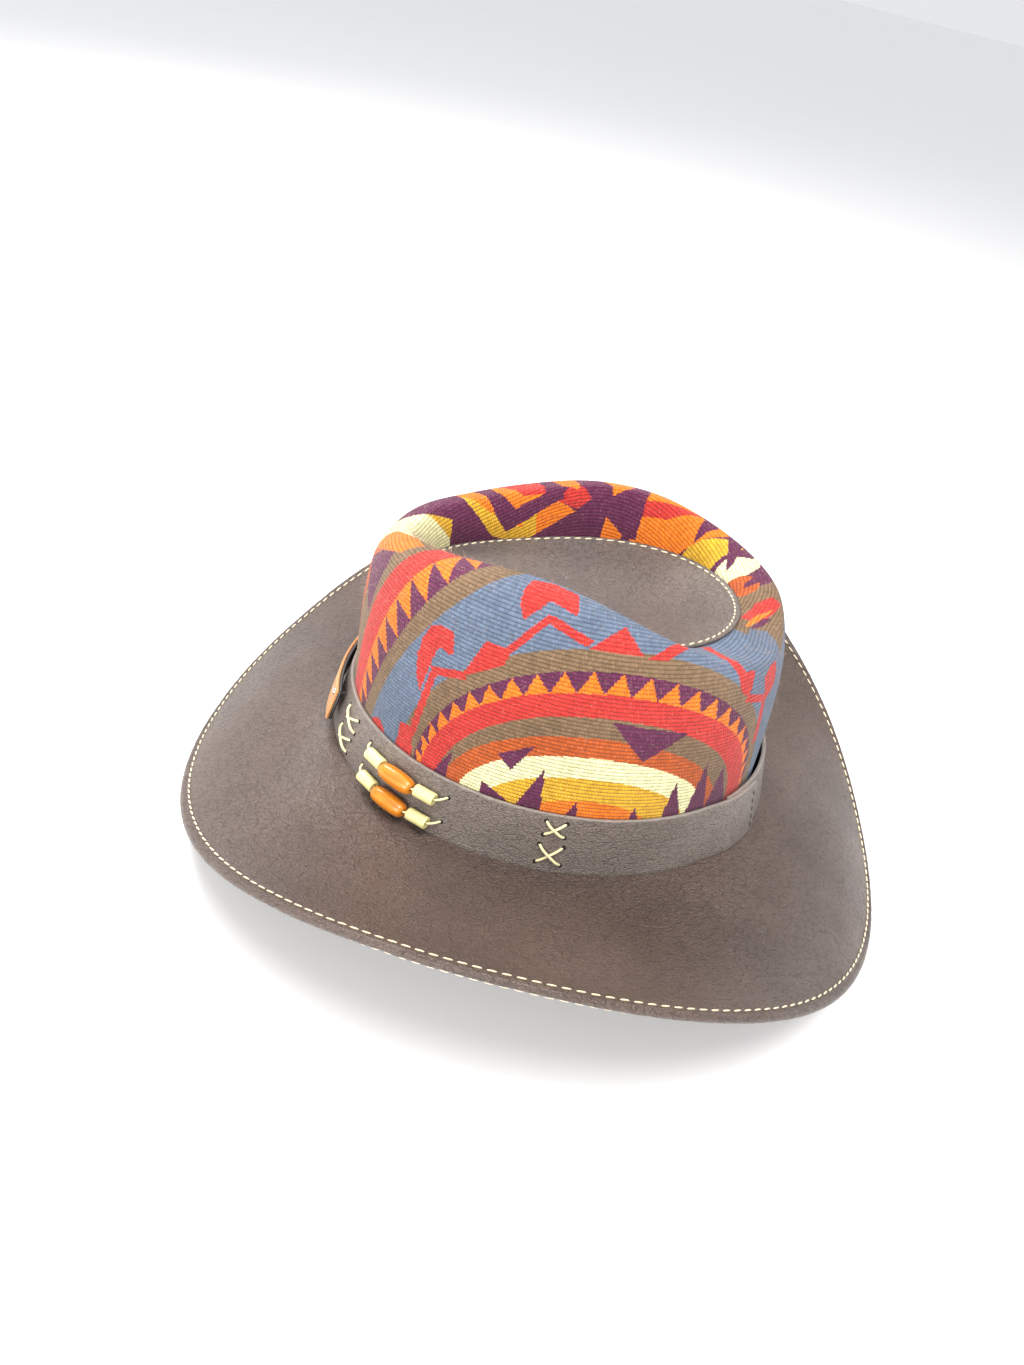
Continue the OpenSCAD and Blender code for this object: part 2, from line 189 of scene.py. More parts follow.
def shown(name, bm):
    """The finished bmesh as an object in the scene, with smooth faces."""
    for face in bm.faces:
        face.smooth = True
    mesh = bpy.data.meshes.new(name)
    bm.to_mesh(mesh)
    bm.free()
    piece = bpy.data.objects.new(name, mesh)
    scene.collection.objects.link(piece)
    return piece


def fit(piece, finish, slot, *nodes, body="hat"):
    """Gives a piece its finish and its body, and hides the CAD nodes that it stands in for."""
    piece.data.materials.append(finish)
    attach(piece, body)
    if nodes:
        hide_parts(*nodes)
    return piece


class Wire:
    """One socket of a material's node tree; sums on it add Math nodes."""

    def __init__(self, tree, socket=None):
        self.tree = tree
        self.socket = socket

    def node(self, kind, settings, inputs, output=0):
        made = self.tree.nodes.new("ShaderNode" + kind)
        for key, value in settings.items():
            setattr(made, key, value)
        for key, value in inputs.items():
            if isinstance(value, Wire):
                self.tree.links.new(value.socket, made.inputs[key])
            else:
                made.inputs[key].default_value = value
        return Wire(self.tree, made.outputs[output])

    def sum(self, operation, *values):
        return self.node("Math", {"operation": operation}, dict(enumerate(values)))

    def of(self, operation, *others):
        """A Math node with this first and any others after it."""
        return self.sum(operation, self, *others)

    def __add__(self, other): return self.sum("ADD", self, other)
    def __radd__(self, other): return self.sum("ADD", other, self)
    def __sub__(self, other): return self.sum("SUBTRACT", self, other)
    def __rsub__(self, other): return self.sum("SUBTRACT", other, self)
    def __mul__(self, other): return self.sum("MULTIPLY", self, other)
    def __rmul__(self, other): return self.sum("MULTIPLY", other, self)
    def __truediv__(self, other): return self.sum("DIVIDE", self, other)
    def __pow__(self, other): return self.sum("POWER", self, other)
    def __lt__(self, other): return self.sum("LESS_THAN", self, other)
    def __gt__(self, other): return self.sum("GREATER_THAN", self, other)

    def mix(self, a, b):
        """Colour a where this is 0, colour b where it is 1."""
        return self.node("Mix", {"data_type": "RGBA"}, {0: self, 6: a, 7: b}, 2)

    def smooth(self, low, high):
        """0 below low, 1 above high and eased between."""
        return self.node("MapRange", {"interpolation_type": "SMOOTHSTEP"}, {0: self, 1: low, 2: high})

    def noise(self, scale, detail=3.0, roughness=0.5):
        return self.node("TexNoise", {}, {"Vector": self, "Scale": scale, "Detail": detail,
                                         "Roughness": roughness})

    def cells(self, scale, feature="DISTANCE_TO_EDGE"):
        return self.node("TexVoronoi", {"feature": feature}, {"Vector": self, "Scale": scale})

    def bump(self, strength, distance):
        return self.node("Bump", {}, {"Strength": strength, "Distance": distance, "Height": self})

    def vector(self, x, y, z=0.0):
        return self.node("CombineXYZ", {}, {0: x, 1: y, 2: z})

    def axis(self, name):
        return self.node("SeparateXYZ", {}, {0: self}, name)


def rgb(red, green, blue):
    """A screen colour, 0 to 255, as the renderer's own linear numbers."""
    parts = [c / 255 for c in (red, green, blue)]
    return [c / 12.92 if c < 0.04 else ((c + 0.055) / 1.055) ** 2.4 for c in parts] + [1.0]


class Finish:
    """A new material: wire starts its node chains and feed ends them in the shader's sockets."""

    def __init__(self, name, **constants):
        self.material = bpy.data.materials.new(name)
        self.material.use_nodes = True
        tree = self.material.node_tree
        self.shader = tree.nodes["Principled BSDF"]
        for key, value in constants.items():
            self.shader.inputs[key.replace("_", " ")].default_value = value
        self.wire = Wire(tree)
        self.object = self.wire.node("TexCoord", {}, {}, "Object")

    def uv(self, name):
        return self.wire.node("UVMap", {"uv_map": name}, {})

    def feed(self, **sockets):
        for key, value in sockets.items():
            self.wire.tree.links.new(value.socket, self.shader.inputs[key.replace("_", " ")])
        return self.material


def pressed_fibre():
    """Grey-brown board with short fibres pressed into it."""
    board = Finish("pressed_fibre", Roughness=0.9)
    fibres = board.object.noise(1800, 4)
    colour = fibres.mix(rgb(120, 102, 78), rgb(168, 148, 118))
    return board.feed(Base_Color=colour, Normal=fibres.bump(0.3, 0.0003))


def brim_rows(low, high, edge, shares):
    """Section of a flat brim layer from height low to high, ending edge mm past the brim's edge."""
    out = [(NECK, 0.0)] + [(FACE, u) for u in shares] + [(EDGE, -12.0), (EDGE, edge)]
    back = [(zone, a, low) for zone, a in reversed(out)]
    return [(zone, a, high) for zone, a in out] + back


brim_steps = 360
leather_thickness = 1.4
board = skin("brim_board", 180, brim_rows(-2.3, -1.43, -5.6, [k / 12 for k in range(10)]), brim_point)
fit(board, pressed_fibre(), "board", "brim_stiffener")

# ================= Under-brim leather =================
# Smooth dark cowhide glued under the board, its edge held by the turned hem of the upper leather.


def leather(name, deep, pale, grain=1.25, rough=0.37, relief=0.75, edge=None):
    """Drum-dyed cowhide: soft patches of colour, pebbled grain in grain mm cells and short creases, with
    painted shade in the creases and the grain's grooves.
    edge is a wire that is 1 on cut edges, where the undyed fibre shows."""
    hide = Finish(name, Specular_IOR_Level=0.5, Coat_Weight=0.14, Coat_Roughness=0.28)
    spread, ripple = hide.object.noise(60, 2), hide.object.noise(0.55 / (grain * MM), 2)
    shift = hide.wire.vector(spread * 0.004 + ripple * 0.0016, spread * 0.006 - ripple * 0.0014,
                             ripple * 0.0012)
    wander = hide.object.node("VectorMath", {"operation": "ADD"}, {0: hide.object, 1: shift})
    wander = wander.node("VectorMath", {"operation": "MULTIPLY"}, {0: wander, 1: (1.0, 0.6, 0.85)})
    pebble = wander.cells(1 / (grain * MM)).smooth(0.0, 0.26)
    broken = hide.object.noise(0.4 / (grain * MM), 2).smooth(0.36, 0.56)
    creases = 1 - (1 - wander.cells(0.4 / (grain * MM)).smooth(0.0, 0.13)) * broken
    pores = hide.object.noise(2.4 / (grain * MM), 4, 0.65)
    worn = hide.object.noise(14, 4, 0.6).smooth(0.34, 0.7)
    # Painted light and shade of the grain: the tops of the pebbles are made lighter, and the creases and
    # the grooves between the pebbles darker towards a near-black brown; the large patches and the pores are
    # the hide's own tone.
    tone = worn * 0.45 + pores * 0.35 + pebble * 0.2
    colour = ((1 - creases) * 0.24 + (1 - pebble) * 0.1).mix(tone.mix(deep, pale), rgb(40, 31, 28))
    height = pebble * 0.5 + creases * 0.6 + pores * 0.4
    gloss = rough + 0.12 * (1 - creases) + 0.12 * (pores - 0.5) - 0.05 * worn
    if edge:
        lit = edge(hide)
        colour = lit.mix(colour, rgb(150, 140, 132))
        gloss = gloss + 0.2 * lit
    return hide.feed(Base_Color=colour, Roughness=gloss, Normal=height.bump(relief, 0.0006))


under_hide = leather("under_brim_hide", rgb(66, 54, 48), rgb(92, 79, 71), 1.0, 0.5, 0.6)
under = skin("under_brim_leather", brim_steps,
             brim_rows(-3.5, -2.33, -4.8, [k / 20 for k in range(17)]), brim_point)
fit(under, under_hide, "under_leather", "brim_lower")

# ================= Edge wire =================
# Round spring wire run in the fold of the upper leather, so that the edge keeps its line.
welt_radius, welt_depth = 1.9, -1.6
wire_radius, skived = 0.95, 0.9


def rolled(radius, angle):
    """A point of the rolled edge's section."""
    return EDGE, -welt_radius + radius * cosine(angle), welt_depth + radius * sine(angle)


def spring_steel():
    steel = Finish("spring_steel", Metallic=1.0)
    drawn = steel.object.noise(900, 2)
    return steel.feed(Base_Color=drawn.mix(rgb(150, 150, 152), rgb(190, 190, 192)),
                      Roughness=0.25 + 0.2 * drawn)


wire = skin("brim_edge_wire", 180, [rolled(wire_radius, 360 * k / 10) for k in range(10)], brim_point)
fit(wire, spring_steel(), "wire", "brim_wire")

# ================= Upper brim leather =================
# One oval of brown cowhide over the board, rolled round the wire, turned under as a hem and
# stitched through; the stitching pulls a narrow groove behind the roll.
groove = [(-11.0, 0.0), (-7.8, 0.0), (-6.8, 0.0), (-6.1, -0.03), (-5.6, -0.1), (-5.2, -0.2),
          (-4.85, -0.26), (-4.4, -0.26), (-3.9, -0.23), (-3.5, -0.19)]
hem_low, hem_high = -4.3, -3.55
roll_angles = [130 - 230 * k / 20 for k in range(21)]


def upper_brim_point(t, zone, a, lift):
    """The brim's surface with the rolled edge's fine wrinkles, which run across the edge."""
    p = brim_point(t, zone, a, lift)
    if zone == EDGE and a > -3.2 and lift > -3.55:
        crease = noise.noise(Vector((t * 1.15, a * 0.12, lift * 0.12)))
        fine = noise.noise(Vector((t * 3.4, a * 0.3, lift * 0.3 + 9)))
        middle = brim_point(t, EDGE, -welt_radius, welt_depth)
        p = p + (p - middle).normalized() * (0.14 * crease + 0.08 * fine)
    return p


upper_rows = [(NECK, 0.0, 0.0)]
upper_rows += [(FACE, k / 36, 0.0) for k in range(31)]
upper_rows += [(EDGE, s, n) for s, n in groove]
upper_rows += [rolled(welt_radius, a) for a in roll_angles]
upper_rows += [(EDGE, -3.4, -3.85), (EDGE, -4.4, hem_low + 0.1), (EDGE, -6.2, hem_low)]
upper_rows += [(EDGE, -7.6, hem_low)]
upper_rows += [(EDGE, -8.0, hem_low + 0.35), (EDGE, -7.7, hem_high), (EDGE, -4.6, hem_high)]
upper_rows += [rolled(welt_radius - skived, a) for a in reversed(roll_angles)]
upper_rows += [(EDGE, -5.4, -1.41), (EDGE, -12.0, -leather_thickness)]
upper_rows += [(FACE, u, -leather_thickness) for u in (0.8, 0.6, 0.4, 0.2, 0.0)]
upper_rows += [(NECK, 0.0, -leather_thickness)]
brim_hide = leather("brim_hide", rgb(74, 59, 51), rgb(104, 86, 77), 1.2, 0.4, 1.0)
upper = skin("brim_leather", 540, upper_rows, upper_brim_point)
fit(upper, brim_hide, "brim_leather", "brim_upper")

# ================= Brim edge stitching =================
# Thick cream thread in the groove behind the roll, seen on top and on the turned hem below.
edge_stitches = 216


def thread(name, dark, pale):
    """Twisted waxed thread: slanting strands and a slight sheen."""
    spun = Finish(name, Sheen_Weight=0.25, Sheen_Roughness=0.4, Roughness=0.55)
    strands = spun.object.noise(2600, 2)
    return spun.feed(Base_Color=strands.mix(dark, pale), Normal=strands.bump(0.4, 0.0002))


def grain_of_thread():
    """One stitch along Z, two units long, with full round ends and a few dozen faces."""
    bm = bmesh.new()
    bmesh.ops.create_uvsphere(bm, u_segments=7, v_segments=6, radius=1)
    for v in bm.verts:
        v.co.z = math.copysign(abs(v.co.z) ** 0.62, v.co.z)
    mesh = bpy.data.meshes.new("one_stitch")
    bm.to_mesh(mesh)
    bm.free()
    return mesh


one_stitch = grain_of_thread()


def sewn(name, ends, width, height, slant):
    """A row of stitches; ends gives each one's start, end and the way up, in millimetres."""
    bm = bmesh.new()
    for a, b, up in ends:
        along = (b - a) * MM
        across = along.cross(up).normalized()
        lift = across.cross(along).normalized()
        along.rotate(Matrix.Rotation(math.radians(slant), 3, lift))
        across = along.cross(lift).normalized()
        place = Matrix((across * width * MM, lift * height * MM, along / 2)).transposed().to_4x4()
        place.translation = (a + b) / 2 * MM
        before = len(bm.verts)
        bm.from_mesh(one_stitch)
        bm.verts.ensure_lookup_table()
        bmesh.ops.transform(bm, matrix=place, verts=bm.verts[before:])
    bmesh.ops.recalc_face_normals(bm, faces=bm.faces)
    return shown(name, bm)


def edge_row(count, back, lift, up):
    """Stitch ends along the brim's edge; up is 1 on the face and -1 on the hem."""
    ends = []
    for i in range(count):
        t, half = 360 * i / count, 360 / count * 0.355
        a, b = brim_point(t - half, EDGE, back, lift), brim_point(t + half, EDGE, back, lift)
        top = brim_point(t, EDGE, back, lift + up)
        ends.append((a, b, (top - (a + b) / 2).normalized()))
    return ends


cream_thread = thread("cream_thread", rgb(214, 196, 160), rgb(250, 238, 208))
edging = sewn("brim_edge_stitches", edge_row(edge_stitches, -4.8, 0.06, 1)
              + edge_row(edge_stitches, -4.8, hem_low + 0.06, -1), 0.44, 0.42, 6)
fit(edging, cream_thread, "cream_thread", "brim_edge_stitching")

# ================= Woven crown =================
# Heavy jacquard wool, blocked over a form: one piece from the base, over the rounded rim and down
# the inner lip, ending in a short tab under the sunken top. Its motifs are fans of stripes with
# rows of teeth, stepped at every yarn.
crown_height, seam_height = 111.7, 95.4
seam_half_length, seam_half_width = 75.2, 45.7
fabric_thickness = 1.4


def crest_at(t):
    """Height of the crown's rim: high at the sides, pinched at the front and dipped at the back."""
    c = [cosine(k * t) for k in range(5)]
    s = [sine(k * t) for k in range(3)]
    turn = (t + 180) % 360 - 180
    dip = 5 * math.exp(-((turn / 20) ** 2)) + 6 * math.exp(-((((t % 360) - 175) / 20) ** 2))
    rise = 2.4 * c[1] - 7.7 * c[2] - 1.1 * c[3] + 2.2 * c[4] - 1.2 * s[1] + 4.2 * s[2]
    return base_height + crown_height + rise - dip


def seam_at(t):
    return base_height + seam_height - 9.0 * cosine(t) - 1.3 * cosine(2 * t)


def seam_point(t, inset, z):
    return oval(seam_half_length - inset, seam_half_width - inset, t, z, -1.2, 3.7, 0.3)


def curve(p, q, r, s, u):
    return (1 - u) ** 3 * p + 3 * (1 - u) ** 2 * u * q + 3 * (1 - u) * u * u * r + u ** 3 * s


def crown_point(t, u, d):
    """u runs up the wall (0 to 1), down the inner lip (to 2) and in under the top (to 3); d is inwards."""
    soft = 0.5 * noise.noise(Vector((3 * sine(t), 3 * cosine(t), 2.4 * u)))
    d = d + soft * ease(u / 0.4) * ease((1.9 - u) / 0.4)
    if u > 2:
        return seam_point(t, 8 * (u - 2), seam_at(t) - 1.7 - 1.6 * (u - 2) - d)
    crest, seam = crest_at(t), seam_at(t)
    c = oval(88.9, 52.7, t, crest - d, 3.7, 3.5, -1.3)
    if u <= 1:
        p = oval(crown_half_length - d, crown_half_width - d, t, base_at(t))
        s = oval(103.9 - d, 72.2 - d, t, crest - d, -1.8, 1.3, -1.3)
        return curve(p, p.lerp(s, 0.79), c.lerp(s, 0.82), c, u)
    e = seam_point(t, -d, seam - 1.7 - d)
    lip = Vector((e.x, e.y, max(c.z, e.z + 1)))
    return curve(c, c.lerp(lip, 0.6), e.lerp(lip, 0.5), e, u - 1)


def shell_rows(outer, inner, us, inner_us):
    return [(u, outer) for u in us] + [(u, inner) for u in reversed(inner_us)]


def dyed_wool():
    """The jacquard: stripes, teeth and figures laid out in degrees round and mm up the cloth."""
    wool = Finish("dyed_wool", Roughness=0.88, Sheen_Weight=0.15, Sheen_Roughness=0.5,
                  Specular_IOR_Level=0.15)
    purple, red, orange = rgb(104, 44, 78), rgb(208, 58, 52), rgb(248, 128, 34)
    yellow, cream, rust = rgb(230, 176, 50), rgb(252, 246, 190), rgb(196, 92, 40)
    brown, blue = rgb(132, 106, 80), rgb(106, 120, 142)
    cut, grid = wool.uv("cut"), wool.uv("grid")
    degrees, height = 1000 * cut.axis("X"), 1000 * cut.axis("Y")
    yarn_t, yarn_h = 0.5, 0.62
    step_t = (degrees / yarn_t).of("FLOOR") * yarn_t + yarn_t / 2
    step_h = (height / yarn_h).of("FLOOR") * yarn_h + yarn_h / 2
    fold = 180 - (step_t - 180).of("ABSOLUTE")

    fan_middle, fan_foot = 104, 20
    behind = fold > fan_middle

    def fan(ahead, back, tall):
        """Share of the way out from the fan's middle, which reaches less far ahead than back."""
        across = (fold - fan_middle) / (ahead + (back - ahead) * behind)
        up = (step_h - fan_foot) / tall
        return (across * across + up * up).of("SQRT")

    def inside(outline, across):
        """1 inside a convex outline of (degrees, mm) points."""
        area = sum(p[0] * q[1] - q[0] * p[1] for p, q in zip(outline, outline[1:] + outline[:1]))
        near = None
        for p, q in zip(outline, outline[1:] + outline[:1]):
            a, b = (p[1] - q[1], q[0] - p[0]) if area > 0 else (q[1] - p[1], p[0] - q[0])
            size = math.hypot(a, b)
            a, b = a / size, b / size
            side = across.of("MULTIPLY_ADD", a, step_h.of("MULTIPLY_ADD", b,
                                                                   -a * p[0] - b * p[1]))
            near = side if near is None else near.of("MINIMUM", side)
        return near > 0

    def painted(cloth, figures, across):
        """The cloth with each figure laid over those before it."""
        for colour, *outlines in figures:
            for outline in outlines:
                cloth = inside(outline, across).mix(cloth, colour)
        return cloth

    def bar(p, q, wide):
        """Outline of a straight bar from p to q, wide across."""
        along = Vector((q[0] - p[0], q[1] - p[1])).normalized() * wide / 2
        x, y = -along.y, along.x
        return [(p[0] + x, p[1] + y), (p[0] - x, p[1] - y), (q[0] - x, q[1] - y), (q[0] + x, q[1] + y)]

    # the great fan on each side, from its outer stripe inwards
    outer, teeth_out, teeth_in = fan(53, 55.5, 90.5), fan(47.5, 51.8, 81), fan(45, 49.6, 71)
    ground = (outer < 1).mix(blue, brown)
    ground = (teeth_out < 1).mix(ground, purple)
    reach = (teeth_in - 1) / (teeth_in - teeth_out)
    turn = ((fold - 103.5) / 52).of("ARCTAN2", (step_h - fan_foot) / 76)
    turn = turn * 7.55 * (1 + 0.07 * reach) + 20.48
    beat = turn.of("FRACT")
    tooth = reach + 2 * (beat - 0.5).of("ABSOLUTE") < 1
    ground = (tooth * (teeth_out < 1)).mix(ground, orange)
    for ahead, back, tall, colour in ((45, 49.6, 71, red), (40, 43, 60, brown), (38, 37.4, 50, rust),
                                      (33.5, 33.5, 40, cream), (27, 27, 29, yellow), (17, 17, 17, orange)):
        ground = (fan(ahead, back, tall) < 1).mix(ground, colour)
    # the slanting stripes before it, each edge a gentle curve up the cloth
    rise = step_h - 27

    def slanted(a, b, c):
        return fold < a + b * rise + c * rise * rise

    edge_in, edge_out = slanted(26.6, 0.146, 0.0006), slanted(32, 0.19, 0.0007)
    ground = slanted(37, 0.144, 0.0015).mix(ground, brown)
    ground = edge_out.mix(ground, purple)
    inner = 26.6 + 0.146 * rise + 0.0006 * rise * rise
    wide = 5.4 + 0.044 * rise + 0.0001 * rise * rise
    share = (fold - inner) / wide
    beat = (rise / 11.5 + 0.9 * share).of("FRACT")
    saw = share + 2 * (beat - 0.5).of("ABSOLUTE") < 1
    ground = (saw * edge_out).mix(ground, orange)
    ground = edge_in.mix(ground, red)
    ground = slanted(19, 0.132, 0.0007).mix(ground, brown)
    ground = slanted(9.5, 0.16, 0.0).mix(ground, rust)
    wall_figures = [
        (orange, [(2, 92), (31, 112), (34, 122), (2, 122)]),
        (cream, [(0, 101), (10, 110), (33, 119), (46, 130), (0, 135)],
         [(0, 112), (0, 84), (9, 96), (12, 112)]),
        (purple, [(12, 94), (20, 104), (28, 110), (29, 103), (26, 76), (22, 80)]),
        (orange, [(4, 62), (10, 74), (6, 92), (0, 98), (0, 50)]),
        (red, [(0, 27), (7, 27), (3, 66), (0, 74)]),
        (purple, [(104, 79), (124, 74.5), (114, 60)], [(79.5, 51.5), (88, 60.5), (83.5, 45)],
         [(91.5, 50.5), (84.5, 20), (93, 20)], [(77, 35), (84, 29), (86, 20), (77, 20)],
         [(101, 37), (97, 20), (102, 20)], [(115.5, 36), (114.5, 20), (119, 20)],
         [(125, 49), (123.5, 20), (131, 20)], [(133, 57), (130.5, 20), (139, 20)],
         [(140, 51), (137, 20), (148, 20)], [(68, 43), (65, 34), (62, 20), (67, 20)]),
        (red, [(38, 24), (38, 30), (41.5, 34), (44.5, 31), (46, 20)],
         [(50, 24), (50.5, 42), (55.5, 44), (56, 24)], bar((55, 40), (58.4, 76), 2.1),
         bar((57.6, 76.2), (67, 81.4), 3.4), [(66, 80), (70, 100), (76.6, 99.5), (76, 93)],
         bar((75.4, 98), (83.2, 118), 2.1), bar((82.6, 117.4), (94, 111), 3.3),
         [(94, 109), (100.5, 120.5), (107, 109)], [(108, 108), (117, 120.5), (121, 118), (113, 108)],
         [(129.5, 108), (134, 122), (138, 120), (134, 108)], bar((131, 110), (138, 97), 3.0),
         [(136, 97), (137, 99), (143, 98), (142, 86), (138, 90)], bar((141, 86), (151, 81), 3.4),
         bar((151, 82), (154, 55), 2.4),
         [(149, 92), (153, 95), (161, 94), (165, 90), (158, 84), (156, 70), (152.5, 74)],
         [(73.6, 124), (73.7, 131.7), (79, 133.5), (86.2, 131.2), (88.2, 124.5), (81, 124.2)],
         [(84, 131), (88.2, 124.6), (88.8, 120.8), (84, 123), (80.5, 124.5)],
         [(73.6, 125), (82, 125), (79.7, 119.8), (77.4, 112.6), (74.6, 119)],
         [(52.4, 87), (54.2, 95), (57, 97.3), (61, 97.6), (61.9, 93), (57.5, 86)],
         [(61.9, 93), (62.5, 88.2), (61.4, 86.8), (58, 89), (59, 95)],
         [(52.4, 88), (58, 90), (57.4, 84), (56.6, 76), (55.2, 63.5), (53, 71), (52.2, 79)]),
    ]
    ground = painted(ground, wall_figures, fold)
    # the far lip, which belongs to the next repeat of the cloth
    lip = (grid.axis("Y") > 0.8) * (step_t > 161)
    far = (step_t < 359).mix(cream, purple)
    lip_figures = [
        (brown, [(160, 80), (160, 126), (198, 126), (208, 108), (198, 80)]),
        (blue, [(150, 90), (150, 112), (168, 111), (174, 103), (164, 90)]),
        (red, [(156, 119), (192, 115), (197.5, 109), (190, 95), (183, 96), (178, 108), (160, 114)]),
        (orange, [(160, 114.6), (183, 111.5), (190, 106), (183, 101), (170, 111.6)]),
        (purple, [(168, 111), (182, 108), (184.5, 104), (176, 106)]),
        (rust, [(188, 121.5), (200, 128), (210, 140), (211, 122), (208, 108), (201, 117)]),
        (purple, [(201, 124), (206, 122.4), (217, 110), (210, 108), (206, 116)]),
        (cream, [(210, 140), (226, 142), (223, 125), (226, 112), (218, 110), (211, 121)]),
        (yellow, [(222, 146), (244, 156), (237, 136), (234, 114), (226, 116)]),
        (purple, [(213.5, 131), (221, 127.5), (232, 120), (232, 112), (225, 114), (219, 125)]),
        (orange, [(236.5, 136), (243, 156), (258, 166), (262, 140), (260, 120), (233, 112), (233, 122)]),
        (purple, [(236.3, 136), (245, 118), (237.5, 116)]),
        (red, [(243.5, 122), (250, 137.5), (258, 143.5), (260, 136)]),
        (purple, [(257, 156), (264, 160), (270, 152), (270, 136), (262, 128), (258, 143)]),
        (orange, [(262, 157.5), (266, 170), (270.5, 170), (270.5, 150)]),
        (purple, [(270, 170), (298, 170), (284, 122), (276, 128), (270, 138)]),
        (orange, [(270.5, 139.5), (276, 128), (265, 128)],
         [(282, 147.5), (290, 152), (298, 154), (303, 144), (290, 139)]),
        (red, [(277.5, 141.5), (281.5, 146.6), (290, 139.6), (286, 132), (281, 136)]),
        (orange, [(283.5, 136), (291, 131), (292.5, 118), (286, 118)]),
        (yellow, [(296, 153), (301, 156), (316, 142), (325, 122), (325, 108), (300, 118)]),
        (orange, [(302, 146), (312, 138), (318, 128), (325, 120), (325, 106), (310, 118)]),
        (purple,
         [(287.5, 139), (300, 143), (309.5, 144), (314.5, 132), (318, 116), (317, 106), (296, 112),
          (291, 128)]),
        (orange, [(295, 133.5), (306, 134.4), (312, 122), (312.5, 106), (298, 112)]),
        (red, [(295, 133.5), (303, 130), (309, 118), (309, 106), (298, 110)]),
        (cream, [(360.5, 100), (346, 115), (336, 134), (336, 150), (361, 150)]),
        (yellow, [(346, 115), (334, 125), (336, 134)]),
    ]
    ground = lip.mix(ground, painted(far, lip_figures, step_t))
    # the weave: ribs 1.85 mm apart, each yarn crossing over and under in brick order
    row = height / 1.86
    row_number = row.of("FLOOR")
    row_share = row.of("FRACT")
    bricks = degrees / 0.78 + (row_number * 0.5).of("FRACT")
    yarn = bricks.of("FRACT")
    rib = (row_share * math.pi).of("SINE")
    lump = (yarn * math.pi).of("SINE")
    raised = (0.3 + 0.7 * rib ** 0.5) * (0.4 + 0.6 * lump ** 0.6)
    pinhole = (rib + lump).smooth(1.08, 0.45)
    place = wool.wire.vector(bricks.of("FLOOR"), row_number)
    tint = place.node("TexWhiteNoise", {"noise_dimensions": "2D"}, {"Vector": place})
    frizz = wool.object.noise(1500, 4, 0.7)
    patch = wool.object.noise(45, 2)
    # Painted light and shade of the weave's relief: the raised crowns of the yarns are made lighter and the
    # pinholes between them dark; the per-yarn tint and the frizz are the yarn's own colour.
    yarn_tone_and_painted_shade = 0.66 + raised.smooth(0.1, 0.7) * 0.2 + 0.3 * (tint - 0.5) + 0.3 * frizz * patch.smooth(0.2, 0.9)
    yarn_tone_and_painted_shade = yarn_tone_and_painted_shade * (1 - 0.9 * pinhole)
    # The cloth is mixed towards a pale colour in flecks where the fine frizz noise is high.
    paler_flecks = (frizz.smooth(0.56, 0.76) * 0.4).mix(ground, rgb(232, 216, 200))
    dim = wool.wire.vector(yarn_tone_and_painted_shade, yarn_tone_and_painted_shade, yarn_tone_and_painted_shade)
    colour = wool.wire.node("Mix", {"data_type": "RGBA", "blend_type": "MULTIPLY"},
                            {0: 1.0, 6: paler_flecks, 7: dim}, 2)
    relief = raised + 0.35 * frizz - 0.4 * pinhole
    return wool.feed(Base_Color=colour, Normal=relief.bump(0.7, 0.0006))


wall_steps = [k / 44 for k in range(44)] + [1 + k / 22 for k in range(22)] + [2, 2.1, 2.5, 3]
inner_steps = [k / 12 for k in range(12)] + [1 + k / 9 for k in range(9)] + [2, 2.1, 2.5, 3]
woven = skin("crown_wool", 480, shell_rows(0, fabric_thickness, wall_steps, inner_steps), crown_point)
fit(woven, dyed_wool(), "woven_fabric", "crown_side")

# ================= Crown buckram =================
# Stiff open-weave cotton glued behind the wool, which keeps the blocked shape.


def plain_weave(name, dark, pale, pitch, rough, sheen):
    """Plain cloth: threads over and under, pitch mm apart."""
    cloth = Finish(name, Roughness=rough, Sheen_Weight=sheen, Sheen_Roughness=0.35)
    around = cloth.uv("cut").axis("X") * 1680 / pitch
    upward = cloth.uv("cut").axis("Y") * 1000 / pitch
    over = (around * math.pi).of("SINE") * (upward * math.pi).of("SINE")
    folds = cloth.object.noise(60, 3)
    # Painted light and shade of the cloth's relief: the colour is lighter where the threads cross over and
    # lighter or darker along the folds.
    colour = (0.3 + 0.3 * over + 0.4 * folds).mix(dark, pale)
    return cloth.feed(Base_Color=colour, Normal=(over + folds).bump(0.3, 0.0003))


buckram_steps = [u for u in wall_steps if u < 1.9]
buckram_steps = buckram_steps[::3]
buckram = skin("crown_buckram", 180, shell_rows(1.44, 2.25, buckram_steps, buckram_steps), crown_point)
stiff_cotton = plain_weave("buckram", rgb(196, 190, 176), rgb(228, 224, 212), 1.4, 0.85, 0.1)
fit(buckram, stiff_cotton, "interlining", "crown_interlining")

# ================= Crown lining =================
# Black satin side lining, eased in with small upright folds, and an oval tip under the top.


def lining_point(t, u, d):
    """The lining hangs a little off the crown in upright folds."""
    fold = sine(t * 23) + 0.6 * sine(t * 41 + 70)
    loose = 0.9 * (0.5 + 0.32 * fold) * ease(u / 0.25) * ease((1.95 - u) / 0.3)
    return crown_point(t, u, d + loose)


satin = plain_weave("black_satin", rgb(20, 18, 20), rgb(44, 40, 42), 0.5, 0.38, 0.3)
lining_steps = [k / 16 for k in range(33)]
lining_rows = shell_rows(2.35, 2.85, lining_steps, lining_steps[::2])
lining = skin("crown_side_lining", 360, lining_rows, lining_point)
fit(lining, satin, "lining", "crown_lining")
top_dish = 6.0


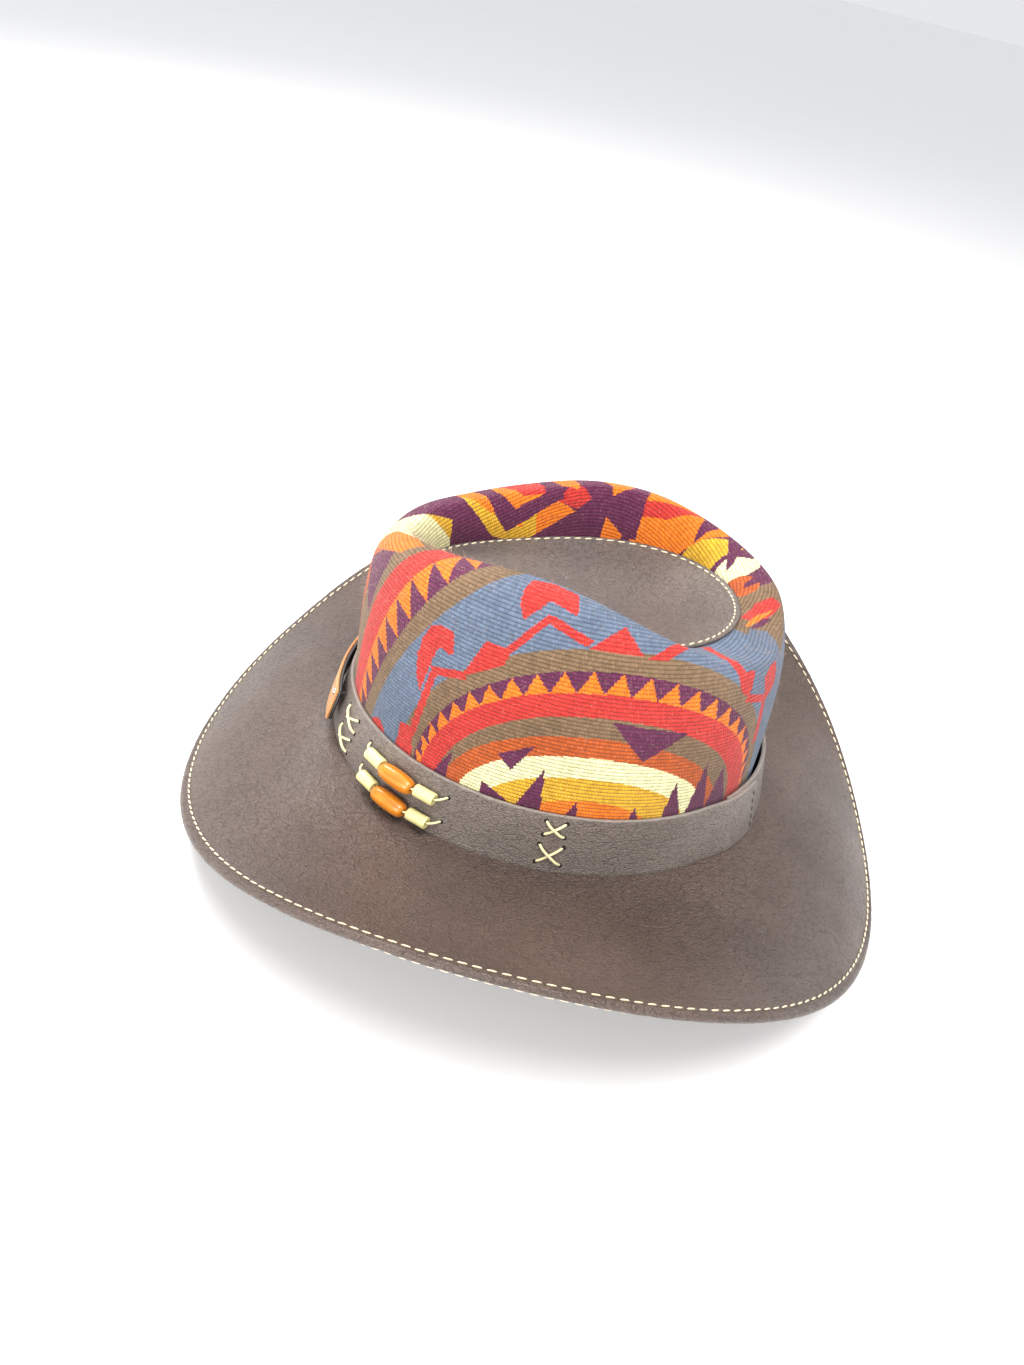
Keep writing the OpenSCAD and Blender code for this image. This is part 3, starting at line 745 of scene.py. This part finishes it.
def top_point(t, k, d, inset):
    """k runs from the seam (0) to the middle of the sunken top (1); d is downwards."""
    p = seam_point(t, inset, seam_at(t))
    m = Vector((0, -1.2 + middle_y, base_height + seam_height - top_dish))
    flat = p.lerp(m, k)
    soft = 0.5 * noise.noise(flat * 0.03) * ease(k / 0.3)
    flat.z = p.z + (m.z - p.z) * (1 - (1 - k) ** 2) - d + soft
    return flat


tip = skin("crown_tip_lining", 120, [(k / 8, 4.4) for k in range(9)] + [(1 - k / 8, 4.9) for k in range(9)],
           lambda t, k, d: top_point(t, k, d, -2.1))
fit(tip, satin, "lining", "lining_tip")

# ================= Sunken leather top =================
# An oval of brown cowhide sewn to the lip with one row of cream stitches; it dishes a little.
top_hide = leather("top_hide", rgb(88, 78, 73), rgb(124, 113, 107), 1.0, 0.38, 0.85)


def top_face(t, k, d):
    """The top's face with the narrow groove that its stitches pull."""
    sunk = 0.28 * math.exp(-(((k - 0.035) / 0.012) ** 2)) if d < 1 else 0
    return top_point(t, k, d + sunk, 0.25)


top_ks = [0.006, 0.015, 0.022, 0.029, 0.035, 0.041, 0.048, 0.06] + [0.08 + 0.92 * k / 30 for k in range(31)]
top_rows = [(0.0, 1.1), (0.0, 0.5)] + [(k, 0.0) for k in top_ks] + [(1 - k / 6, 1.6) for k in range(7)]
top = skin("crown_top_leather", 360, top_rows, top_face)
fit(top, top_hide, "top_leather", "crown_top")
top_stitches = 84
seam_ends = []
for i in range(top_stitches):
    t, half = 360 * i / top_stitches, 360 / top_stitches * 0.33
    seam_ends.append((top_point(t - half, 0.035, -0.02, 0.25), top_point(t + half, 0.035, -0.02, 0.25),
                      Vector((0, 0, 1))))
top_seam = sewn("crown_top_stitches", seam_ends, 0.42, 0.4, 8)
fit(top_seam, cream_thread, "cream_thread", "crown_top_stitching")

# ================= Sweatband =================
# A strip of soft brown leather inside the base, stitched along its foot.
sweat_hide = leather("sweatband_hide", rgb(74, 50, 36), rgb(110, 80, 60), 0.8, 0.42, 0.4)
sweat_us = [0, 0.01, 0.02, 0.04, 0.06, 0.08, 0.1, 0.115, 0.125, 0.13]
sweatband = skin("sweatband_leather", 240, shell_rows(2.95, 4.2, sweat_us, sweat_us), crown_point)
fit(sweatband, sweat_hide, "sweat_leather", "sweatband")
dark_thread = thread("dark_thread", rgb(34, 28, 24), rgb(70, 60, 52))
sweat_ends = []
for i in range(96):
    t, half = 360 * i / 96, 1.2
    a, b = crown_point(t - half, 0.014, 4.25), crown_point(t + half, 0.014, 4.25)
    sweat_ends.append((a, b, Vector((-a.x, middle_y - a.y, 0)).normalized()))
fit(sewn("sweatband_stitches", sweat_ends, 0.35, 0.3, 5), dark_thread, "dark_thread", "sweatband_stitching")

# ================= Band =================
# One strap of thick cowhide round the crown's foot, its end lapped over its start at the back
# left and stitched. Its cut edges are paler than its face, and it is punched where laces enter.
band_height, band_thickness = 29.5, 1.9
band_top_length, band_top_width = 106.9, 86.0
lap_start, lap_end, lap_lift = 146.667, 520.8, 1.95


def band_face(t, v):
    return oval(foot_half_length + (band_top_length - foot_half_length) * v,
                foot_half_width + (band_top_width - foot_half_width) * v, t, base_at(t) + band_height * v)


def band_out(t, v):
    """Outward direction of the band's face."""
    return (band_face(t + 1, v) - band_face(t - 1, v)).cross(
        band_face(t, v + 0.05) - band_face(t, v - 0.05)).normalized()


def on_band(t, v, d):
    return band_face(t, v) + d * band_out(t, v)


def strap_point(t, v, d):
    lift = lap_lift * min(1.0, max(0.0, (t - 499) / 9))
    wave = 0.22 * noise.noise(Vector((4 * sine(t), 4 * cosine(t), 2 * v)))
    corner = max(0.0, (t - lap_end + 3) / 3) ** 3
    v = 0.5 + (v - 0.5) * (1 - 0.12 * corner)
    return on_band(t, v, d + lift + wave)


def cut_edge(hide):
    """1 along the band's top and bottom edges."""
    up = hide.uv("grid").axis("Y")
    return (1 - up).of("MINIMUM", up).smooth(0.02, 0.008)


def strap_rows(low, high, inner, outer, steps):
    """Section of a strap with softly rounded edges."""
    soft = 0.012
    face = [(low + (high - low) * k / steps, outer) for k in range(steps + 1)]
    face[0], face[-1] = (low + soft, outer), (high - soft, outer)
    back = [(high, outer - 0.5), (high, inner + 0.4), (high - soft, inner), (low + soft, inner),
            (low, inner + 0.4), (low, outer - 0.5)]
    return [(low + 0.003, outer - 0.16)] + face + [(high - 0.003, outer - 0.16)] + back


band_hide = leather("band_hide", rgb(108, 96, 89), rgb(146, 134, 127), 1.05, 0.38, 0.9, cut_edge)
band = skin("band_leather", 480, strap_rows(0.0, 1.0, -band_thickness, 0.0, 18), strap_point,
            lap_start, lap_end - lap_start)
fit(band, band_hide, "band_leather", "hat_band")
close_t, on_lap = 158.6, lap_lift + 0.05
closing = [(on_band(close_t, 0.1 + 0.16 * k, on_lap), on_band(close_t, 0.2 + 0.16 * k, on_lap),
            band_out(close_t, 0.5)) for k in range(5)]
fit(sewn("band_closing_stitches", closing, 0.42, 0.4, 6), dark_thread, "dark_thread", "band_end_stitching")

# ================= Cross lacing =================
# Pale waxed thong, crossed through four punched holes: two crosses ahead of the beads on each
# side and two behind them. One arm lies over the other.
thong_radius = 0.62


def rods(name, lines, radius, sides=3, steps=6):
    """Round cord along each line of points, in millimetres, with closed ends."""
    guide = bpy.data.curves.new(name, "CURVE")
    guide.dimensions = "3D"
    guide.bevel_depth = radius * MM
    guide.bevel_resolution = sides
    guide.use_fill_caps = True
    guide.resolution_u = steps
    for line in lines:
        path = guide.splines.new("BEZIER")
        path.bezier_points.add(len(line) - 1)
        for point, place in zip(path.bezier_points, line):
            point.co = place * MM
            point.handle_left_type = point.handle_right_type = "AUTO"
    maker = bpy.data.objects.new(name + "_guide", guide)
    scene.collection.objects.link(maker)
    mesh = bpy.data.meshes.new_from_object(maker.evaluated_get(bpy.context.evaluated_depsgraph_get()))
    bpy.data.objects.remove(maker)
    bm = bmesh.new()
    bm.from_mesh(mesh)
    bpy.data.meshes.remove(mesh)
    bmesh.ops.remove_doubles(bm, verts=bm.verts, dist=0.000002)
    bmesh.ops.recalc_face_normals(bm, faces=bm.faces)
    return shown(name, bm)


def waxed_thong():
    """Pale waxed leather thong with lengthwise streaks."""
    thong = Finish("waxed_thong", Roughness=0.5, Sheen_Weight=0.15, Specular_IOR_Level=0.4)
    streaks = thong.object.noise(1300, 3)
    return thong.feed(Base_Color=streaks.mix(rgb(222, 206, 146), rgb(252, 244, 196)),
                      Normal=streaks.bump(0.35, 0.0002))


pale_thong = waxed_thong()
punched = []


def arm(t, v, dt, dv, rise):
    """One arm of a cross, arched off the band between two holes."""
    line = []
    for k in (-1.0, -0.93, -0.7, -0.35, 0.0, 0.35, 0.7, 0.93, 1.0):
        off = -0.6 + (rise + 0.6) * (1 - abs(k) ** 4)
        line.append(on_band(t + dt * k, v + dv * k, off))
    punched.extend([(t - dt, v - dv), (t + dt, v + dv)])
    return line


crosses = {"front_upper": (30.0, 0.66, 4.2, 0.13), "front_lower": (29.6, 0.24, 4.2, 0.13),
           "rear_upper": (97.0, 0.76, 2.5, 0.12), "rear_lower": (97.0, 0.31, 2.9, 0.16)}
for side, way in (("left", 1), ("right", -1)):
    for spot, (t, v, dt, dv) in crosses.items():
        lines = [arm(way * t, v, way * dt, dv, 0.75), arm(way * t, v, way * dt, -dv, 1.95)]
        crossed = rods(f"thong_cross_{side}_{spot}", lines, thong_radius)
        fit(crossed, pale_thong, "lace", f"cross_{side}_{spot}")

# ================= Wool fuzz =================
# Loose fibres standing off the woven crown, more of them where it is handled at the front.
random.seed(11)
fibres = []
for k in range(2600):
    t = random.uniform(0, 360) if k % 3 else random.gauss(35, 22)
    u = random.uniform(0.3, 1.3)
    root = crown_point(t, u, 0.15)
    out = (crown_point(t + 1, u, 0) - root).cross(crown_point(t, u + 0.01, 0) - root).normalized()
    lean = Vector([random.gauss(0, 1) for _ in range(3)]).normalized()
    reach = random.uniform(1.0, 3.2)
    bent = root + (out * 0.75 + lean * 0.6) * reach * 0.5
    fibres.append([root, bent, bent + (out * 0.4 + lean * 0.8) * reach * 0.5])
fuzz = rods("crown_fuzz", fibres, 0.034, 0, 2)
stray = Finish("stray_wool", Roughness=0.9)
fit(fuzz, stray.feed(Base_Color=stray.object.noise(90).mix(rgb(150, 104, 88), rgb(216, 190, 170))),
    "woven_fabric")

# ================= Bead strings =================
# On each side two laces, each through a tube bead, a long wooden bead and another tube bead; the
# lace's ends dive into punched holes, and each bead is free to turn on its lace.
tube_length, tube_radius, bore_radius = 10.6, 3.0, 1.25
wood_length, wood_radius = 19.0, 4.3
bead_gap = 0.35
tube_front, wood_middle, tube_rear = 47.9, 56.6, 65.0
string_height = {"upper": 0.66, "lower": 0.22}


def bead_centre(t, level, radius):
    return on_band(t, string_height[level], radius + bead_gap)


def bead_along(t, level):
    v = string_height[level]
    return (on_band(t + 2, v, 0) - on_band(t - 2, v, 0)).normalized()


def turned(name, profile, steps, centre, along):
    """A lathe-turned piece; profile is the closed outline as (radius, height) along its axis.
    The attribute lathe keeps each point's place on the lathe, for grain that follows the axis."""
    bm = bmesh.new()
    ring = [bm.verts.new((radius * MM, 0, height * MM)) for radius, height in profile]
    edges = [bm.edges.new((a, b)) for a, b in zip(ring, ring[1:] + ring[:1])]
    bmesh.ops.spin(bm, geom=ring + edges, axis=(0, 0, 1), cent=(0, 0, 0), angle=math.tau, steps=steps,
                   use_merge=True)
    bmesh.ops.remove_doubles(bm, verts=bm.verts, dist=0.000002)
    lathe = bm.verts.layers.float_vector.new("lathe")
    for v in bm.verts:
        v[lathe] = v.co + centre * 7 * MM
    place = along.to_track_quat("Z", "Y").to_matrix().to_4x4()
    place.translation = centre * MM
    bmesh.ops.transform(bm, matrix=place, verts=bm.verts)
    bmesh.ops.recalc_face_normals(bm, faces=bm.faces)
    return shown(name, bm)


def tube_outline():
    end, lip = tube_length / 2, 0.35
    outer = [(tube_radius - lip, -end), (tube_radius - 0.1, -end + 0.12), (tube_radius, -end + lip)]
    outer += [(tube_radius + 0.04 * math.sin(k), -end + 1 + 8.6 * k / 8) for k in range(9)]
    outer += [(tube_radius, end - lip), (tube_radius - 0.1, end - 0.12), (tube_radius - lip, end)]
    return outer + [(bore_radius + 0.25, end), (bore_radius, end - 0.3), (bore_radius, -end + 0.3),
                    (bore_radius + 0.25, -end)]


def wood_outline():
    end, narrow = wood_length / 2, 2.45
    outer = []
    for k in range(-12, 13):
        share = k / 12
        outer.append((narrow + (wood_radius - narrow) * math.sqrt(max(0.0, 1 - abs(share) ** 2.3)),
                      share * end))
    return outer + [(bore_radius + 0.3, end), (bore_radius, end - 0.4), (bore_radius, -end + 0.4),
                    (bore_radius + 0.3, -end)]


def bone_tube():
    """Pale cream-yellow painted bone: faint lengthwise lines, a soft polish."""
    bone = Finish("bone_tube", Roughness=0.38, Coat_Weight=0.15, Coat_Roughness=0.3, Subsurface_Weight=0.05)
    lathe = bone.wire.node("Attribute", {"attribute_name": "lathe"}, {}, "Vector")
    stretched = lathe.node("VectorMath", {"operation": "MULTIPLY"}, {0: lathe, 1: (1, 1, 0.12)})
    lines = stretched.noise(900, 3)
    stain = lathe.noise(160, 3).smooth(0.45, 0.75)
    colour = (lines * 0.5 + stain * 0.3).mix(rgb(242, 232, 166), rgb(222, 202, 128))
    return bone.feed(Base_Color=colour, Normal=lines.bump(0.15, 0.0002))


def lacquered_wood():
    """Honey-orange turned wood under clear lacquer, its grain along the bead."""
    wood = Finish("lacquered_wood", Coat_Weight=0.6, Coat_Roughness=0.2, Specular_IOR_Level=0.5)
    lathe = wood.wire.node("Attribute", {"attribute_name": "lathe"}, {}, "Vector")
    stretched = lathe.node("VectorMath", {"operation": "MULTIPLY"}, {0: lathe, 1: (1, 1, 0.08)})
    grain = stretched.noise(700, 4, 0.6)
    fine = stretched.noise(2600, 2)
    rings = (grain * 14).of("FRACT").smooth(0.1, 0.9)
    tone = grain.smooth(0.3, 0.7) * 0.6 + rings * 0.2 + fine * 0.2
    colour = tone.mix(rgb(180, 92, 8), rgb(240, 152, 30))
    return wood.feed(Base_Color=colour, Roughness=0.32 + 0.16 * fine, Normal=grain.bump(0.12, 0.0002))


bone, wood = bone_tube(), lacquered_wood()
for side, way in (("left", 1), ("right", -1)):
    for level, v in string_height.items():
        stops = ((tube_front, "tube", "_front", tube_radius, tube_length),
                 (wood_middle, "oval", "", wood_radius, wood_length),
                 (tube_rear, "tube", "_rear", tube_radius, tube_length))
        line = [on_band(way * 42.4, v + 0.07, -0.6), on_band(way * 42.7, v + 0.065, 0.8),
                on_band(way * 43.4, v + 0.045, 2.3)]
        for t, kind, end, radius, length in stops:
            centre, along = bead_centre(way * t, level, radius), bead_along(way * t, level) * way
            outline, finish, slot = ((tube_outline(), bone, "pale_bead") if kind == "tube"
                                     else (wood_outline(), wood, "wood_bead"))
            node = f"{kind}_{side}_{level}{end}"
            bead = turned(f"bead_{node}", outline, 44, centre, along)
            fit(bead, finish, slot, node, body=node + "_body")
            line += [centre + along * length * k for k in (-0.46, 0.0, 0.46)]
        line += [on_band(way * 69.2, v + 0.045, 2.3), on_band(way * 69.9, v + 0.065, 0.8),
                 on_band(way * 70.3, v + 0.07, -0.6)]
        punched += [(way * 42.4, v + 0.07), (way * 70.3, v + 0.07)]
        lace = rods(f"bead_lace_{side}_{level}", [line], 0.55)
        fit(lace, pale_thong, "lace", f"lace_{side}_{level}")

# the punched holes: shallow dark dimples under every end of thong, painted as the shade inside each hole
dimples = bmesh.new()
for t, v in punched:
    out = band_out(t, v)
    place = out.to_track_quat("Z", "Y").to_matrix().to_4x4() @ Matrix.Diagonal((1.15, 1.15, 0.3, 1))
    place.translation = on_band(t, v, 0.02) * MM
    bmesh.ops.create_uvsphere(dimples, u_segments=10, v_segments=6, radius=MM, matrix=place)
hole = Finish("hole_shadow", Roughness=0.95)
hole_finish = hole.feed(Base_Color=hole.object.noise(900).mix(rgb(14, 11, 10), rgb(30, 24, 22)))
fit(shown("punched_holes", dimples), hole_finish, "band_leather")

# ================= Front plaque =================
# A curved tan leather plate on a black foam-cored backing, standing a little off the band at the
# front and held by a silvery rivet near each end.
plaque_half, plaque_low, plaque_high = 21.5, 0.2, 0.84


def plaque_off(t):
    """The plate is flatter than the band, so it stands further off towards its ends."""
    return 2.2 * (t / plaque_half) ** 2


def plaque_point(t, v, d):
    middle = (plaque_low + plaque_high) / 2
    corner = max(0.0, (abs(t) - plaque_half + 0.8) / 0.8) ** 3
    return on_band(t, middle + (v - middle) * (1 - 0.05 * corner), d + plaque_off(t))


def black_backing():
    """Black sheet with a fine speckle; the thin grey glue line between its two layers is a piece of its
    own.
    """
    black = Finish("black_backing", Specular_IOR_Level=0.5)
    speckle = black.object.noise(1200, 3)
    return black.feed(Base_Color=speckle.mix(rgb(12, 12, 13), rgb(34, 33, 34)),
                      Roughness=0.35 + 0.2 * speckle)


tan_hide = leather("tan_hide", rgb(196, 124, 66), rgb(240, 182, 122), 0.9, 0.45, 0.5)
plate = skin("plaque_plate", 80, strap_rows(plaque_low, plaque_high, 3.0, 4.4, 14), plaque_point,
             -plaque_half, 2 * plaque_half)
fit(plate, tan_hide, "plaque_tan", "plaque_face")
backing = skin("plaque_back", 80, strap_rows(plaque_low, plaque_high, 1.4, 2.97, 6), plaque_point,
               -plaque_half, 2 * plaque_half)
fit(backing, black_backing(), "plaque_black", "plaque_backing")
glue_rows = [(plaque_low - 0.003, 2.3), (plaque_high + 0.003, 2.3), (plaque_high + 0.003, 2.1),
             (plaque_low - 0.003, 2.1)]
glue = Finish("grey_glue", Roughness=0.6)
grey_glue = glue.feed(Base_Color=glue.object.noise(800).mix(rgb(104, 104, 106), rgb(132, 132, 134)))
glue_half = plaque_half + 0.05
glue_line = skin("plaque_glue_line", 80, glue_rows, plaque_point, -glue_half, 2 * glue_half)
fit(glue_line, grey_glue, "plaque_black")


def polished_nickel():
    nickel = Finish("polished_nickel", Metallic=1.0)
    scuffs = nickel.object.noise(1600, 4)
    return nickel.feed(Base_Color=scuffs.mix(rgb(176, 174, 170), rgb(214, 213, 210)),
                       Roughness=0.12 + 0.22 * scuffs)


nickel = polished_nickel()
rivet_outline = [(0.0, -0.6), (0.85, -0.6), (0.85, 6.2), (1.85, 6.26), (1.9, 6.45), (1.78, 6.75),
                 (1.45, 7.0), (0.95, 7.18), (0.45, 7.26), (0.0, 7.28)]
rivet_t, rivet_v = 19.6, 0.74
for side, t in (("left", rivet_t), ("right", -rivet_t)):
    rivet = turned(f"rivet_{side}", rivet_outline, 32, on_band(t, rivet_v, 0), band_out(t, rivet_v))
    fit(rivet, nickel, "rivet", f"plaque_rivet_{side}")

# ================= Floor and light =================
# A plain pale floor, even soft light from all round, a soft lamp high at the front right of the
# hat, one overhead and a lower one on the camera's side.
floor_mesh = bmesh.new()
bmesh.ops.create_grid(floor_mesh, x_segments=2, y_segments=2, size=60,
                       matrix=Matrix.Translation((0, 0, -0.0006)))
floor = shown("floor", floor_mesh)
pale = Finish("pale_floor", Roughness=0.9)
white = pale.object.noise(3).mix(rgb(246, 246, 246), rgb(249, 249, 249))
floor.data.materials.append(pale.feed(Base_Color=white))
world = bpy.data.worlds.new("studio")
scene.world = world
world.use_nodes = True
world.node_tree.nodes["Background"].inputs["Color"].default_value = (0.97, 0.98, 1.0, 1)
world.node_tree.nodes["Background"].inputs["Strength"].default_value = 0.82


def softbox(name, place, aim, size, power, colour):
    lamp = bpy.data.objects.new(name, bpy.data.lights.new(name, "AREA"))
    lamp.data.shape = "DISK"
    lamp.data.size = size
    lamp.data.energy = power
    lamp.data.color = colour
    lamp.location = place
    lamp.rotation_euler = (Vector(aim) - Vector(place)).to_track_quat("-Z", "Y").to_euler()
    scene.collection.objects.link(lamp)


softbox("key_lamp", (-0.85, -0.75, 1.2), (0, 0, 0.08), 0.6, 20, (1.0, 0.98, 0.95))
softbox("top_lamp", (0.35, 0.15, 1.7), (0, 0, 0.08), 0.9, 26, (1.0, 0.99, 0.97))
softbox("fill_lamp", (1.4, -0.5, 0.6), (0, 0, 0.08), 1.0, 20, (1.0, 0.99, 0.97))
scene.view_settings.view_transform = "Standard"
